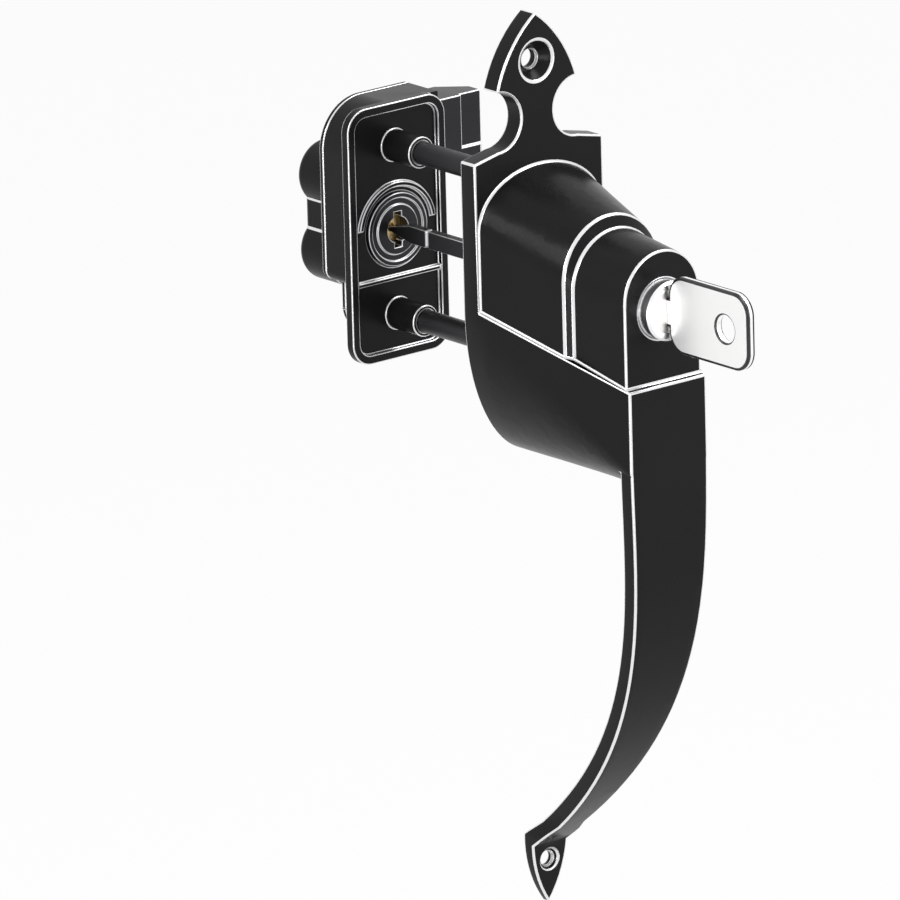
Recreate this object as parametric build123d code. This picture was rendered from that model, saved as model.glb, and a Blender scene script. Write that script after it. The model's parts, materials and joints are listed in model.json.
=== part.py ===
from build123d import *
import os
from math import asin, cos, degrees, radians, sin

# Storm door push button handle: the outside pull, and the inside latch it is screwed to.
# Frame: +Z up, +X to the right seen from outdoors, -Y outdoors, +Y into the room.
# Origin: on the spindle's axis, at the back face of the outside plate, which lies on the door.
# Depths called out_ are measured outwards (-Y) from there; the latch starts at door_gap (+Y).

# Door and fixing
door_gap = 50.8
post_spacing = 44.45
fit_clear = 0.08
body_clear = 0.3
snug = 0.02
keyway_clear = 0.05
plug_clear = 0.2
over = 1.0
far_off = 200.0

# Outside plate
plate_half = 21.0
plate_thick = 5.7
plate_low_z = -8.0
plate_low_height = 39.0
shoulder_z = 32.0
notch_x = 13.0
notch_z = 41.4
notch_r = 7.7
spear_tip_z = 67.8
spear_bow_out = 1.6
spear_bow_up = 1.06
top_hole_z = 55.3
top_hole_r = 2.4
top_sink_r = 5.4

# Stepped housing on the plate
ring_out = 33.1
ring_half = 15.7
ring_top = 20.6
step_out = 34.9
step_half = 14.0
step_top = 17.2
face_out = 52.7
face_half = 12.2
face_top = 15.1
base_inset = 0.8
base_spring_z = 14.0
base_top = 28.5
ledge_back_z = -6.4
ledge_front_z = -18.9
ledge_sink = 1.2
ledge_proud = 1.6
neck_low_height = 6.0
housing_bottom_z = -46.5
core_wall = 3.0
core_top_z = -20.0
core_depth = 44.0
core_boss_r = 5.6

# Grip and foot
grip_half = 12.5
grip_thick = 4.6
grip_bend = 2.9
grip_taper = 2.0
grip_taper_z = -30.0
grip_waist = 4.3
foot_out = 3.6
foot_tip_thick = 2.6
foot_tip_z = -167.5
foot_top_z = -147.5
foot_half = 5.7
foot_cusp_rise = 3.0
foot_side_bow = 0.78
foot_side_z = -158.5
foot_hole_z = -156.0
foot_hole_r = 1.9
foot_sink_r = 3.3

# Push button, plug and key
button_travel = 4.5
button_r = 7.7
button_wall = 2.0
button_proud = 3.6
button_length = 20.0
button_flange_r = 9.1
button_flange_thick = 1.5
button_flange_gap = 0.05
button_chamfer = 0.6
groove_start = 3.0
groove_wall = 1.0
front_wall = 4.0
cavity_r = 9.5
plug_recess = 0.3
plug_neck_r = 4.0
plug_spigot_r = 2.9
key_thick = 2.3
key_chamfer = 0.3
key_cut_low = 0.45
key_cut_high = 1.1
key_blade_height = 7.0
key_blade_length = 17.0
bow_length = 30.5
bow_height = 20.0
bow_corner = 5.5
bow_hole_r = 3.6
bow_hole_out = 21.5
tumbler_count = 5
tumbler_first = 2.6
tumbler_step = 0.35
tumbler_window = 3.6
tumbler_pitch = 2.4
tumbler_thick = 0.8
tumbler_width = 3.0
lug_half_length = 6.5
lug_width = 4.0
lug_thick = 1.6
lug_corner = 1.5
lug_ring = 1.4
seat_out = 26.0
lock_plate_thick = 1.6
lock_plate_r = 10.0
lock_plate_reach = 6.3
lock_screw_z = 12.8
lock_screw_r = 1.1
lock_screw_length = 8.0
small_head_r = 1.9
small_head_thick = 1.3
spring_wire = 0.9
spring_turns = 4
clip_thick = 0.8
clip_inset = 0.6

# Spindle
blade_height = 4.6
blade_thick = 2.4
blade_point = 9.0
blade_tip_half = 0.5
blade_tip_length = 0.6
spindle_root = 6.5
spindle_pin_r = 0.8

# Posts and mounting screws
post_r = 3.0
boss_length = 9.8
boss_r = 4.15
boss_bore_r = 2.3
post_seat = 8.0
post_thread_r = 2.08
post_chamfer = 0.5
thread_run_out = 3.0
boss_sink = 1.1
screw_r = 2.0
screw_grip = 15.0
screw_head_r = 3.9
screw_head_thick = 2.6

# Latch case
case_half = 16.0
case_half_height = 33.75
case_corner = 6.0
rim_width = 2.4
rim_height = 1.2
panel_thick = 1.5
case_depth = 16.0
case_wall = 1.5
housing_left = -12.6
housing_low_z = -14.0
housing_corner = 13.0
housing_low_corner = 3.0
housing_top_drop = 0.6
tower_half = 6.5
cover_thick = 1.5
cover_screw_r = 0.9
cover_screw_grip = 6.0
cover_screw_in = 3.8
cover_screw_up = 4.4
cover_boss_r = 2.6
cover_head_thick = 1.2
arch_gap = 3.0
arch_width = 1.3
arch_low_z = 1.5
divider_z = -12.6
divider_width = 1.2
divider_sunk = 0.3

# Hub, bolt and knob
hub_r = 7.5
hub_flange_r = 9.6
hub_bore_r = 4.2
hub_front = 0.4
keyhole_r = 3.4
keyhole_tab_width = 2.4
keyhole_tab_reach = 4.7
keyhole_plate = 2.8
hub_ring_out = 1.3
hub_ring_in = 3.0
hub_ring_deep = 0.5
hub_flange_in = 0.8
hub_bore_run = 4.0
hub_flat = 1.2
hub_tail_back = 3.0
bolt_throw = 8.0
crank_r = 14.0
arm_thick = 1.5
arm_ring = 2.0
arm_half = 2.5
arm_pin_r = 1.25
arm_pin_in = 2.6
arm_slot_deep = 3.2
nose_reach = 31.0
nose_low_z = 12.5
nose_high_z = 30.5
nose_back_x = 15.6
nose_bevel = 6.0
nose_lead = 0.8
nose_slant = 0.6
nose_bevel_share = 0.55
nose_step = 0.8
nose_step_up = 4.0
tail_overlap = 1.5
tail_gap = 0.2
nose_step_x = 24.0
tail_low_z = 9.0
tail_high_z = 17.6
tail_split_z = 11.5
tail_left = -2.4
push_pin_r = 1.0
push_back = 5.2
cup_back = 1.6
cup_dimple_r = 1.2
cup_dimple_tip_r = 0.3
bolt_spring_r = 2.4
bolt_spring_wire = 0.6
bolt_spring_hole_r = 2.7
bolt_spring_turns = 7
bolt_spring_wall = 7.0
knob_shaft_r = 6.0
knob_gap = 2.0
knob_half_height = 18.5
knob_lobe_r = 8.6
knob_depth = 13.0
knob_waist = 6.2
knob_rim = 2.2
knob_collar = 3.0
knob_scoop_r = 9.0
knob_scoop_out = 6.6
knob_scoop_back = 4.0
set_screw_r = 2.0
set_screw_front = 1.0
set_screw_chamfer = 0.3
set_screw_slot = 0.35
set_screw_slot_deep = 1.0

os.makedirs("parts", exist_ok=True)


def save(node, shape):
    """Write one node's solid or group of solids."""
    shape.label = node
    export_step(shape, f"parts/{node}.step")


def prism(sketch, y_low, y_high):
    """A flat X-Z sketch given depth along Y."""
    return extrude(Plane.XZ.offset(-y_high) * sketch, amount=y_high - y_low)


def rod(radius, y_low, y_high, x=0.0, z=0.0):
    """A round bar along Y."""
    return prism(Pos(x, z) * Circle(radius), y_low, y_high)


def bar_x(radius, x_low, x_high, y=0.0, z=0.0):
    """A round bar along X."""
    return Pos((x_low + x_high) / 2, y, z) * Rot(0, 90, 0) * Cylinder(radius, x_high - x_low)


def bar_z(radius, z_low, z_high, x=0.0, y=0.0):
    """A round bar along Z."""
    return Pos(x, y, (z_low + z_high) / 2) * Cylinder(radius, z_high - z_low)


def block(x_low, x_high, y_low, y_high, z_low, z_high):
    """A box given by its six faces."""
    centre = Pos((x_low + x_high) / 2, (y_low + y_high) / 2, (z_low + z_high) / 2)
    return centre * Box(x_high - x_low, y_high - y_low, z_high - z_low)


def sink(radius, hole_r, y_face, into, x=0.0, z=0.0):
    """A countersink whose mouth is at y_face and which narrows towards +Y (into=1) or -Y."""
    depth = radius - hole_r
    cone = Cone(radius, hole_r, depth) if into > 0 else Cone(hole_r, radius, depth)
    return Pos(x, y_face + into * depth / 2, z) * Rot(-90, 0, 0) * cone


def coil(radius, wire, y_low, y_high, turns):
    """A compression spring along Y, its end turns' centres half a wire inside the two planes."""
    path = Helix((y_high - y_low - wire) / turns, y_high - y_low - wire, radius)
    start = Plane(origin=path @ 0, z_dir=path % 0)
    body = sweep(start * Circle(wire / 2), path=path)
    return Pos(0, y_low + wire / 2, 0) * Rot(-90, 0, 0) * body


# The grip's front stands proud of the housing's face, and its bend ends on the foot
grip_out = face_out + ledge_proud
grip_bend_z = housing_bottom_z
foot_join_z = foot_top_z - 4.0

# Button, plug and lock depths that follow from the sizes above
button_face = -(face_out + button_proud)
button_tail = button_face + button_length
clip_y = button_tail + 2 * keyway_clear
button_bore_r = button_r - button_wall
plug_r = button_bore_r - fit_clear
plug_face = button_face + plug_recess
front_wall_back = -(face_out - front_wall)
flange_front = front_wall_back + button_flange_gap
flange_back = flange_front + button_flange_thick
lug_back = -seat_out - body_clear
lug_front = lug_back - lug_thick
blade_tip_y = door_gap + hub_front + keyhole_plate + body_clear
spindle_back_y = lug_front - spindle_root
post_z = post_spacing / 2

# Crank angles: the arm swings evenly to both sides of straight up
crank_half_angle = degrees(asin(bolt_throw / 2 / crank_r))
crank_x = bolt_throw / 2
crank_z = crank_r * cos(radians(crank_half_angle))

# Case depths
rim_back = door_gap + rim_height + panel_thick
case_back = door_gap + case_depth
cover_front = case_back - cover_thick
push_start_y = door_gap + push_back


def plate_edges():
    """The spear-topped outline of the outside plate, in X and Z."""
    low = EllipticalCenterArc((0, plate_low_z), plate_half, plate_low_height, 180, arc_size=180)
    edges = [low]
    for side in (1, -1):
        corner = (side * plate_half, shoulder_z)
        notch_low = (side * notch_x, notch_z - notch_r)
        notch_deep = (side * (notch_x - notch_r), notch_z)
        notch_high = (side * notch_x, notch_z + notch_r)
        middle_x = notch_x / 2 + spear_bow_out
        middle_z = (notch_z + notch_r + spear_tip_z) / 2 + spear_bow_up
        edges.append(Line((side * plate_half, plate_low_z), corner))
        edges.append(Line(corner, notch_low))
        edges.append(ThreePointArc(notch_low, notch_deep, notch_high))
        edges.append(ThreePointArc(notch_high, (side * middle_x, middle_z), (0, spear_tip_z)))
    return edges


def housing_section(out, half, spring_z, top_z, low_z, low_height):
    """One arch-topped, round-bottomed section of the housing, at a depth outwards."""
    edges = [
        EllipticalCenterArc((0, low_z), half, low_height, 180, arc_size=180),
        Line((half, low_z), (half, spring_z)),
        EllipticalCenterArc((0, spring_z), half, top_z - spring_z, 0, arc_size=180),
        Line((-half, spring_z), (-half, low_z)),
    ]
    return Plane.XZ.offset(out) * make_face(edges)


def ledge_region(lift, above):
    """Everything above, or below, the sloping ledge that divides housing and neck."""
    slope = (ledge_front_z - ledge_back_z) / (face_out - plate_thick)
    far_out = grip_out + over
    z_at = lambda out: ledge_back_z + slope * (out - plate_thick) + lift
    z_end = far_off if above else -far_off
    outline = Polyline(
        (over, z_at(-over)), (-far_out, z_at(far_out)), (-far_out, z_end), (over, z_end), close=True
    )
    return extrude(Plane.YZ * make_face(outline), amount=far_off, both=True)


def round_low(out):
    """Height of the bottom curve at a depth: a half ellipse on the plate, nearly flat at the grip."""
    share = (out - plate_thick) / (grip_out - plate_thick)
    return plate_low_height + (neck_low_height - plate_low_height) * share


def make_housing():
    """The upper, stepped part: three lofts, with a narrow shoulder between dome and face."""
    stations = [
        (plate_thick, plate_half - base_inset, base_spring_z, base_top),
        (ring_out, ring_half, ring_top - ring_half, ring_top),
        (step_out, step_half, step_top - step_half, step_top),
        (face_out, face_half, face_top - face_half, face_top),
    ]
    sections = []
    for out, half, spring_z, top_z in stations:
        height = round_low(out)
        low_z = housing_bottom_z + height if out > plate_thick else plate_low_z
        sections.append(housing_section(out, half, spring_z, top_z, low_z, height))
    body = loft([sections[0], sections[1]], ruled=True)
    body += loft([sections[1], sections[2]], ruled=True)
    body += loft([sections[2], sections[3]], ruled=True)
    return body & ledge_region(-ledge_sink, above=True)


def make_neck():
    """The plain, tapering part under the ledge that carries the grip."""
    root = housing_section(plate_thick, plate_half, base_spring_z, base_top, plate_low_z, plate_low_height)
    height = round_low(grip_out)
    head = housing_section(grip_out, grip_half, 2.5, face_top, housing_bottom_z + height, height)
    return loft([root, head], ruled=True) & ledge_region(0, above=False)


def grip_front(share):
    """A point of the grip's front, in Y and Z: straight down at first, then bending in to the foot."""
    out = foot_out + (grip_out - foot_out) * (1 - share ** grip_bend)
    return (-out, grip_bend_z + (foot_join_z - grip_bend_z) * share)


def grip_side(share):
    """A point of the grip's right edge, in X and Z: full width at the neck, a waist at the foot."""
    x = grip_half - (grip_half - grip_waist) * share ** grip_taper
    return (x, grip_taper_z + (foot_top_z + foot_cusp_rise - grip_taper_z) * share)


def make_grip():
    """The curved bar: its side profile cut to its tapering front outline."""
    front = Spline([grip_front(share) for share in (0, 0.15, 0.3, 0.45, 0.6, 0.72, 0.83, 0.92, 1)])
    back_points = []
    for share in (0, 0.15, 0.3, 0.45, 0.6, 0.7, 0.8, 0.9):
        tangent = front % share
        spot = front @ share
        back_points.append((spot.X - tangent.Y * grip_thick, spot.Y + tangent.X * grip_thick))
    back = Spline(back_points + [(0, foot_top_z - over)])
    top_z = ledge_front_z - ledge_proud
    profile = make_face([
        Line((-grip_out, top_z), front @ 0),
        front,
        Line(front @ 1, (-foot_tip_thick, foot_tip_z)),
        Line((-foot_tip_thick, foot_tip_z), (0, foot_tip_z)),
        Line((0, foot_tip_z), back @ 1),
        back,
        Line(back @ 0, (back_points[0][0], top_z)),
        Line((back_points[0][0], top_z), (-grip_out, top_z)),
    ])
    bar = extrude(Plane.YZ * profile, amount=plate_half, both=True)
    sides = []
    for side in (1, -1):
        taper = [grip_side(share) for share in (0, 0.2, 0.4, 0.6, 0.8, 1)]
        edge = Spline([(side * x, z) for x, z in taper])
        cusp = (side * foot_half, foot_top_z)
        straight = Line((side * grip_half, top_z), (side * grip_half, grip_taper_z))
        sides += [straight, edge, Line(edge @ 1, cusp)]
        sides.append(ThreePointArc(cusp, (side * foot_half * foot_side_bow, foot_side_z), (0, foot_tip_z)))
    sides.append(Line((-grip_half, top_z), (grip_half, top_z)))
    front_outline = extrude(Plane.XZ * make_face(sides), amount=grip_out + over)
    return bar & front_outline


def foot_face_out(z):
    """How far the foot's slightly tapering face stands off the door at a height."""
    share = (foot_join_z - z) / (foot_join_z - foot_tip_z)
    return foot_out + (foot_tip_thick - foot_out) * share


def make_core():
    """The hollow that the casting's die leaves in the neck's back, open to the door."""
    sections = []
    for out, half in ((-over, plate_half), (core_depth, grip_half)):
        height = round_low(max(out, plate_thick))
        low_z = housing_bottom_z + height
        sections.append(
            housing_section(out, half - core_wall, base_spring_z, base_top, low_z, height - core_wall)
        )
    core = loft(sections, ruled=True)
    core &= block(-plate_half, plate_half, -core_depth, over, housing_bottom_z, core_top_z)
    return core - rod(core_boss_r, -post_seat - core_wall, 2 * over, z=-post_z)


def make_handle():
    """The whole outside casting with its holes and the cavity behind the button."""
    plate = extrude(Plane.XZ * make_face(plate_edges()), amount=plate_thick)
    body = plate + make_housing() + make_neck() + make_grip() - make_core()
    body -= rod(top_hole_r, -plate_thick - over, over, z=top_hole_z)
    body -= sink(top_sink_r, top_hole_r, -plate_thick, 1, z=top_hole_z)
    foot_face = -foot_face_out(foot_hole_z)
    body -= rod(foot_hole_r, -foot_out - over, over, z=foot_hole_z)
    body -= sink(foot_sink_r, foot_hole_r, foot_face, 1, z=foot_hole_z)
    body -= rod(foot_sink_r, foot_face - over, foot_face, z=foot_hole_z)
    body -= rod(button_r + fit_clear, -face_out - over, front_wall_back)
    body -= rod(cavity_r, front_wall_back, over)
    pocket_r = lock_plate_r + plug_clear
    pocket = SlotOverall(2 * (lock_plate_reach + pocket_r), 2 * pocket_r, rotation=90)
    body -= prism(pocket, -seat_out, over)
    for side in (1, -1):
        body -= rod(lock_screw_r, -seat_out - lock_screw_length, -seat_out, z=side * lock_screw_z)
        body -= rod(post_r + snug, -post_seat, over, z=side * post_z)
    return body


def make_post(side):
    """A tapped post that stands on the back of the plate."""
    post = rod(post_r, -post_seat, door_gap - boss_length, z=side * post_z)
    tip = post.edges().group_by(Axis.Y)[-1]
    post = chamfer(tip, post_chamfer)
    bottom = door_gap - boss_length - screw_grip - thread_run_out
    return post - rod(post_thread_r, bottom, door_gap, z=side * post_z)


def make_button():
    """The bright sleeve that the thumb pushes, with its stop flange and two wafer grooves."""
    body = rod(button_r, button_face, button_tail)
    body = chamfer(body.edges().group_by(Axis.Y)[0], button_chamfer)
    body += rod(button_flange_r, flange_front, flange_back)
    body -= rod(button_bore_r, button_face - over, button_tail + over)
    half = tumbler_width / 2 + plug_clear
    reach = button_r - groove_wall
    groove = block(-half, half, button_face + groove_start, button_tail + over, -reach, reach)
    return body - groove


def make_plug():
    """The lock plug with its keyway, wafer slots, neck and slotted tail."""
    body = rod(plug_r, plug_face, clip_y)
    body += rod(plug_neck_r, button_tail, lug_front)
    body += rod(plug_spigot_r, lug_front, lug_back + plug_clear)
    keyway_half = key_thick / 2 + keyway_clear
    keyway_high = key_blade_height / 2 + 2 * keyway_clear
    keyway_end = button_face + key_blade_length + 2 * plug_clear
    body -= block(-keyway_half, keyway_half, plug_face - over, keyway_end, -keyway_high, keyway_high)
    for index in range(tumbler_count):
        middle = tumbler_y(index)
        half = tumbler_thick / 2 + keyway_clear
        width = tumbler_width / 2 + keyway_clear
        body -= block(-width, width, middle - half, middle + half, -plug_r - over, plug_r + over)
    slot_x = blade_thick / 2 + keyway_clear
    slot_z = blade_height / 2 + keyway_clear
    slot_start = spindle_back_y - 2 * keyway_clear
    body -= block(-slot_x, slot_x, slot_start, lug_back + over, -slot_z, slot_z)
    return body - bar_x(spindle_pin_r + snug, -plug_neck_r - over, plug_neck_r + over, y=pin_y())


def tumbler_y(index):
    """Depth of one wafer's middle."""
    return plug_face + tumbler_first + index * tumbler_pitch


def pin_y():
    """Depth of the cross pin that holds the blade in the plug."""
    return (spindle_back_y + lug_front) / 2 + 2 * plug_clear


def make_tumbler(index):
    """One wafer: a thin plate with a window that clears the key's blade."""
    middle = tumbler_y(index)
    half = tumbler_thick / 2
    width = tumbler_width / 2
    top = plug_r - plug_clear
    plate = block(-width, width, middle - half, middle + half, -top, top)
    window_x = key_thick / 2 + snug
    window_low = -key_blade_height / 2 - 2 * keyway_clear
    window_high = tumbler_window - tumbler_step * (index % 3)
    window = block(-window_x, window_x, middle - over, middle + over, window_low, window_high)
    rounded = rod(plug_r - 2 * keyway_clear, middle - half, middle + half)
    return (plate & rounded) - window


def make_key():
    """A flat key: rounded bow with a ring hole, and a blade cut for the wafers."""
    half = key_thick / 2
    bow_start = -button_face + body_clear
    bow_end = bow_start + bow_length
    bow_middle = (bow_start + bow_end) / 2
    bow = Pos(-bow_middle, 0) * RectangleRounded(bow_length, bow_height, bow_corner)
    bow -= Pos(-(bow_start + bow_hole_out), 0) * Circle(bow_hole_r)
    key = extrude(Plane.YZ * bow, amount=half, both=True)
    key = chamfer(key.edges().filter_by(GeomType.LINE).group_by(Axis.Z)[-1], key_chamfer)
    blade_low = -key_blade_height / 2
    blade_high = key_blade_height / 2
    blade = block(-half, half, -bow_start - over, button_face + key_blade_length, blade_low, blade_high)
    for index in range(tumbler_count):
        middle = tumbler_y(index)
        floor = blade_high - tumbler_step * (index % 3)
        notch = Polyline(
            (middle - key_cut_high, blade_high + plug_clear), (middle - key_cut_low, floor),
            (middle + key_cut_low, floor), (middle + key_cut_high, blade_high + plug_clear), close=True,
        )
        blade -= extrude(Plane.YZ * make_face(notch), amount=half + over, both=True)
    return key + blade


def make_spindle():
    """The flat steel blade, pointed where it meets the latch."""
    high = blade_height / 2
    neck = blade_tip_y - blade_point
    shoulder = blade_tip_y - blade_tip_length
    outline = Polyline(
        (spindle_back_y, -high), (neck, -high), (shoulder, -blade_tip_half), (blade_tip_y, 0),
        (shoulder, blade_tip_half), (neck, high), (spindle_back_y, high), close=True,
    )
    blade = extrude(Plane.YZ * make_face(outline), amount=blade_thick / 2, both=True)
    return blade - bar_x(spindle_pin_r, -blade_thick, blade_thick, y=pin_y())


def make_locking_lug():
    """The bar on the plug's tail that passes the lock plate only when upright."""
    hole = Circle(plug_spigot_r + snug)
    sketch = RectangleRounded(lug_width, 2 * lug_half_length, lug_corner) - hole
    sketch += Circle(plug_spigot_r + lug_ring) - hole
    return prism(sketch, lug_front, lug_back)


def make_lock_plate():
    """The plate behind the button: spring seat and keyed gate for the lug."""
    outline = SlotOverall(2 * (lock_plate_reach + lock_plate_r), 2 * lock_plate_r, rotation=90)
    gate = Circle(plug_spigot_r + lug_ring + body_clear)
    gate += Rectangle(lug_width + 2 * body_clear, 2 * (lug_half_length + body_clear))
    plate = prism(outline - gate, -seat_out, -seat_out + lock_plate_thick)
    for side in (1, -1):
        plate -= rod(lock_screw_r + body_clear / 2, -seat_out - over, 0, z=side * lock_screw_z)
    return plate


def make_pan_screw(radius, head_r, head_thick, y_head, y_tip, z=0.0, x=0.0):
    """A pan-head screw along Y, its head on the +Y end with a cross recess."""
    shank = rod(radius, y_tip, y_head, x=x, z=z)
    head = rod(head_r, y_head, y_head + head_thick, x=x, z=z)
    head = fillet(head.edges().group_by(Axis.Y)[-1], head_thick * 0.45)
    slot = head_r * 0.22
    arm = head_r * 0.62
    top = y_head + head_thick + 1
    floor = y_head + head_thick * 0.4
    cross = block(x - arm, x + arm, floor, top, z - slot, z + slot)
    cross += block(x - slot, x + slot, floor, top, z - arm, z + arm)
    return shank + head - cross


def housing_outline(inset):
    """The latch housing behind the face plate, seen from the room, shrunk by a wall."""
    left = housing_left + inset
    right = case_half - inset
    top = case_half_height - housing_top_drop - inset
    low = housing_low_z + inset
    body = Pos((left + right) / 2, (low + top) / 2) * Rectangle(right - left, top - low)
    corners = body.vertices().group_by(Axis.X)[0]
    top_left = corners.sort_by(Axis.Y)[-1]
    low_left = corners.sort_by(Axis.Y)[0]
    body = fillet(top_left, housing_corner - inset)
    nearest = body.vertices().sort_by(lambda v: abs(v.X - low_left.X) + abs(v.Y - low_left.Y))[0]
    return fillet(nearest, housing_low_corner)


def make_case():
    """The latch's casting: rimmed face plate, two bosses, a hollow housing and a screw tower."""
    height = 2 * case_half_height
    face = RectangleRounded(2 * case_half, height, case_corner)
    panel = RectangleRounded(2 * (case_half - rim_width), height - 2 * rim_width, case_corner - rim_width)
    body = prism(face, door_gap, rim_back) - prism(panel, door_gap - over, door_gap + rim_height)
    body += prism(housing_outline(0), rim_back, cover_front)
    body -= prism(housing_outline(case_wall), rim_back, cover_front + over)
    tower = Pos(0, -post_z) * Circle(tower_half)
    tower += Pos(0, (housing_low_z - post_z) / 2) * Rectangle(2 * tower_half, housing_low_z + post_z + over)
    body += prism(tower, rim_back, cover_front)
    for side in (1, -1):
        body += rod(boss_r, door_gap - boss_length, cover_front, z=side * post_z)
        body -= rod(boss_bore_r, door_gap - boss_length - over, case_back + over, z=side * post_z)
        body -= sink(boss_r - boss_sink, boss_bore_r, door_gap - boss_length, 1, z=side * post_z)
    flange_seat = door_gap + rim_height + hub_flange_in + 2 * keyway_clear
    body -= rod(hub_flange_r + body_clear, door_gap - over, flange_seat)
    body -= rod(hub_r + fit_clear, door_gap - over, rim_back + over)
    arch_out = hub_flange_r + arch_gap
    arch = Circle(arch_out) - Circle(arch_out - arch_width)
    arch &= Pos(0, arch_out / 2 + arch_low_z) * Rectangle(3 * arch_out, arch_out)
    body += prism(arch, door_gap + divider_sunk, door_gap + rim_height)
    ledge = Pos(0, divider_z) * Rectangle(2 * (case_half - rim_width + plug_clear), divider_width)
    body += prism(ledge, door_gap + divider_sunk, door_gap + rim_height)
    inner = case_half - case_wall - post_chamfer
    window_front = rim_back + 2 * keyway_clear
    body -= block(
        inner, case_half + over, window_front, cover_front + over,
        tail_low_z - body_clear, nose_high_z + body_clear,
    )
    for x, z in cover_screw_spots():
        boss = rod(cover_boss_r, rim_back, cover_front, x=x, z=z)
        body += boss & prism(housing_outline(0), rim_back, cover_front)
        thread_start = cover_front - cover_screw_grip - over
        body -= rod(cover_screw_r + keyway_clear, thread_start, cover_front + over, x=x, z=z)
    return body


def cover_screw_spots():
    """Places of the two small screws that hold the case's cover."""
    z = housing_low_z + cover_screw_up
    return [(housing_left + cover_screw_in, z), (case_half - cover_screw_in, z)]


def make_cover():
    """The flat back of the latch, with clearance for the hub and the mounting screws."""
    outline = housing_outline(0) + Pos(0, -post_z) * Circle(tower_half)
    outline += Pos(0, (housing_low_z - post_z) / 2) * Rectangle(2 * tower_half, housing_low_z + post_z + over)
    cover = prism(outline, cover_front, case_back)
    cover -= rod(knob_shaft_r + fit_clear, cover_front - over, case_back + over)
    for side in (1, -1):
        cover -= rod(boss_bore_r, cover_front - over, case_back + over, z=side * post_z)
    for x, z in cover_screw_spots():
        cover -= rod(cover_screw_r + 5 * keyway_clear, cover_front - over, case_back + over, x=x, z=z)
    return cover


def window_wedge():
    """The sector of the hub's wall that the upright push pin needs as the hub turns."""
    margin = degrees(asin((push_pin_r + body_clear) / hub_bore_r)) + 2
    sweep_angle = 2 * crank_half_angle
    reach = 2 * hub_r
    start = 90 - margin
    end = 90 + sweep_angle + margin
    steps = 5
    points = [(0, 0)]
    for step in range(steps + 1):
        angle = radians(start + (end - start) * step / steps)
        points.append((reach * cos(angle), reach * sin(angle)))
    return make_face(Polyline(*points, close=True))


def make_hub():
    """The turned hub: flanged keyhole front, open barrel and a tail for the knob."""
    front = door_gap + hub_front
    flange_end = door_gap + rim_height + hub_flange_in
    barrel_back = cover_front - body_clear
    body = rod(hub_flange_r, front, flange_end) + rod(hub_r, front, barrel_back)
    body += rod(knob_shaft_r, barrel_back, case_back + knob_gap + knob_depth - hub_tail_back)
    groove = rod(hub_flange_r - hub_ring_out, front - over, front + hub_ring_deep)
    body -= groove - rod(hub_flange_r - hub_ring_in, front - over, front + over)
    body = body - rod(hub_bore_r, front + keyhole_plate, push_start_y + button_travel + hub_bore_run)
    keyhole = Circle(keyhole_r) + Rectangle(keyhole_tab_width, 2 * keyhole_tab_reach)
    body -= prism(keyhole, front - over, front + keyhole_plate + 2 * keyway_clear)
    window_low = push_start_y - push_pin_r - body_clear
    window_high = push_start_y + button_travel + push_pin_r + body_clear
    turned = Rot(0, 0, -2 * crank_half_angle) * window_wedge()
    body -= prism(turned, window_low, window_high)
    flat = knob_shaft_r - hub_flat
    body -= block(-hub_r, hub_r, case_back + knob_gap, case_back + knob_gap + knob_depth, flat, hub_r)
    return body


def arm_angle():
    """Angle of the hub's arm at rest, from straight up towards +X."""
    return crank_half_angle


def make_hub_arm():
    """The stamped arm on the hub that draws the bolt back."""
    y_low = arm_y_low()
    hole = Circle(hub_r + snug)
    ring = Circle(hub_r + arm_ring) - hole
    finger = Pos(0, (crank_r + hub_r) / 2) * Rectangle(2 * arm_half, crank_r - hub_r)
    finger += Pos(0, crank_r) * Circle(arm_half)
    sketch = ring + (finger - hole)
    sketch -= Pos(0, crank_r) * Circle(arm_pin_r)
    return prism(Rot(0, 0, -arm_angle()) * sketch, y_low, y_low + arm_thick)


def arm_y_low():
    """Depth of the arm's front face, behind the bolt's tail."""
    return tail_back() + body_clear


def tail_front():
    """Front face of the bolt's tail."""
    return rim_back + body_clear


def tail_back():
    """Back face of the bolt's tail."""
    return cover_front - body_clear - arm_thick - body_clear - tail_gap


def make_arm_pin():
    """The pin in the arm's end that rides in the bolt's upright slot."""
    return rod(arm_pin_r, tail_back() - arm_pin_in, arm_y_low() + arm_thick, x=crank_x, z=crank_z)


def make_bolt():
    """The latch bolt: bevelled, stepped nose, and a tail with the two drive slots."""
    front = tail_front()
    back = cover_front - body_clear
    bevel_start = nose_reach - nose_bevel * (nose_bevel_share + nose_slant)
    outline = Polyline(
        (nose_back_x, front), (nose_reach - nose_lead, front), (nose_reach, front + nose_lead),
        (nose_reach, back - nose_bevel), (bevel_start, back), (nose_back_x, back), close=True,
    )
    nose = Pos(0, 0, nose_low_z) * extrude(make_face(outline), amount=nose_high_z - nose_low_z)
    step_low_z = nose_low_z + nose_step_up
    nose -= block(
        nose_step_x, nose_reach + over, front - over, front + nose_step, step_low_z, nose_high_z + over
    )
    tail = block(tail_left, nose_back_x + tail_overlap, front, tail_back(), tail_low_z, tail_high_z)
    body = nose + tail
    spring_end = nose_reach - bolt_spring_wall
    body -= bar_x(bolt_spring_hole_r, nose_back_x - over, spring_end, y=bolt_spring_y(), z=post_z)
    slot_r = push_pin_r + body_clear / 2
    cut_high = tail_split_z - tail_low_z + over
    body -= Pos(0, 0, tail_low_z - over) * extrude(slanted_slot(slot_r), amount=cut_high)
    pin_gap = arm_pin_r + body_clear / 2
    slot_low = crank_z - pin_gap
    slot_high = crank_r + pin_gap
    slot = SlotOverall(slot_high - slot_low, 2 * pin_gap, rotation=90)
    upright = Pos(crank_x, (slot_low + slot_high) / 2) * slot
    return body - prism(upright, tail_back() - arm_slot_deep, tail_back() + over)


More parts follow.
